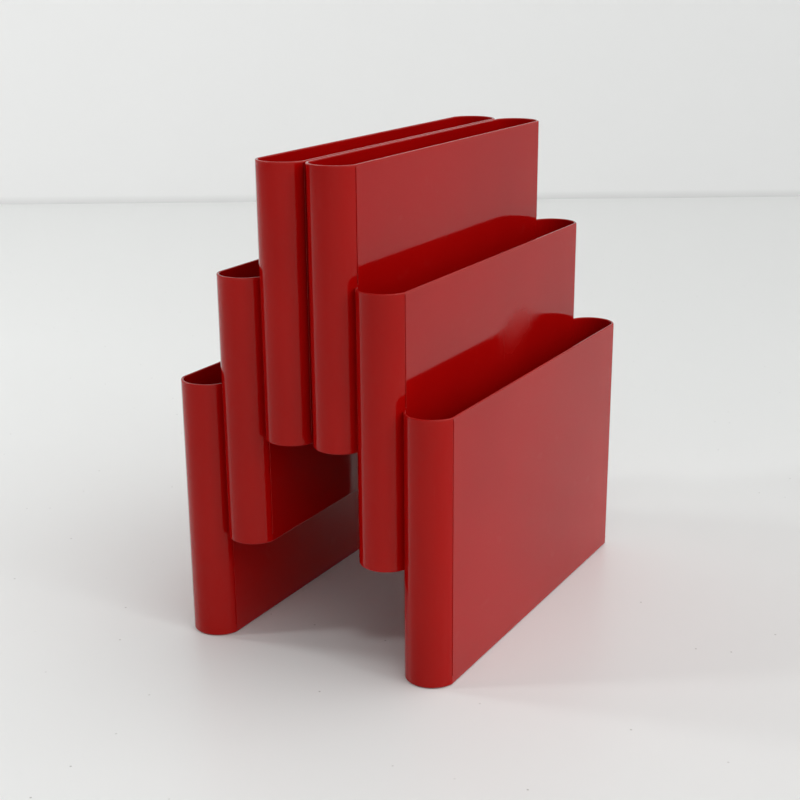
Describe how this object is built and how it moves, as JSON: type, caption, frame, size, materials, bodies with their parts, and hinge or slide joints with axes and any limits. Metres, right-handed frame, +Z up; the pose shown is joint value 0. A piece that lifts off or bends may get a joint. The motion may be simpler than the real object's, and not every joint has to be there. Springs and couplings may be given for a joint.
{
  "type": "magazine rack",
  "caption": "Free-standing rack for newspapers and magazines: open-topped pockets with round ends, which step down to the floor on both sides of the centre.",
  "frame": {"origin": "centre of the base, on the surface that the rack stands on", "axes": "+Z up, X across the pockets with the connector bolts' heads on the +X side, Y along the pockets"},
  "size_m": [0.2804, 0.41, 0.455],
  "materials": {
    "red_plastic": "polished moulded plastic",
    "steel": "zinc plated",
    "nylon": "natural nylon"
  },
  "bodies": {
    "root": {"right_tier": "red_plastic", "left_tier": "red_plastic", "connector_bolts": "steel", "sleeve_nuts": "steel", "spacer_rings": "nylon"}
  },
  "joints": []
}
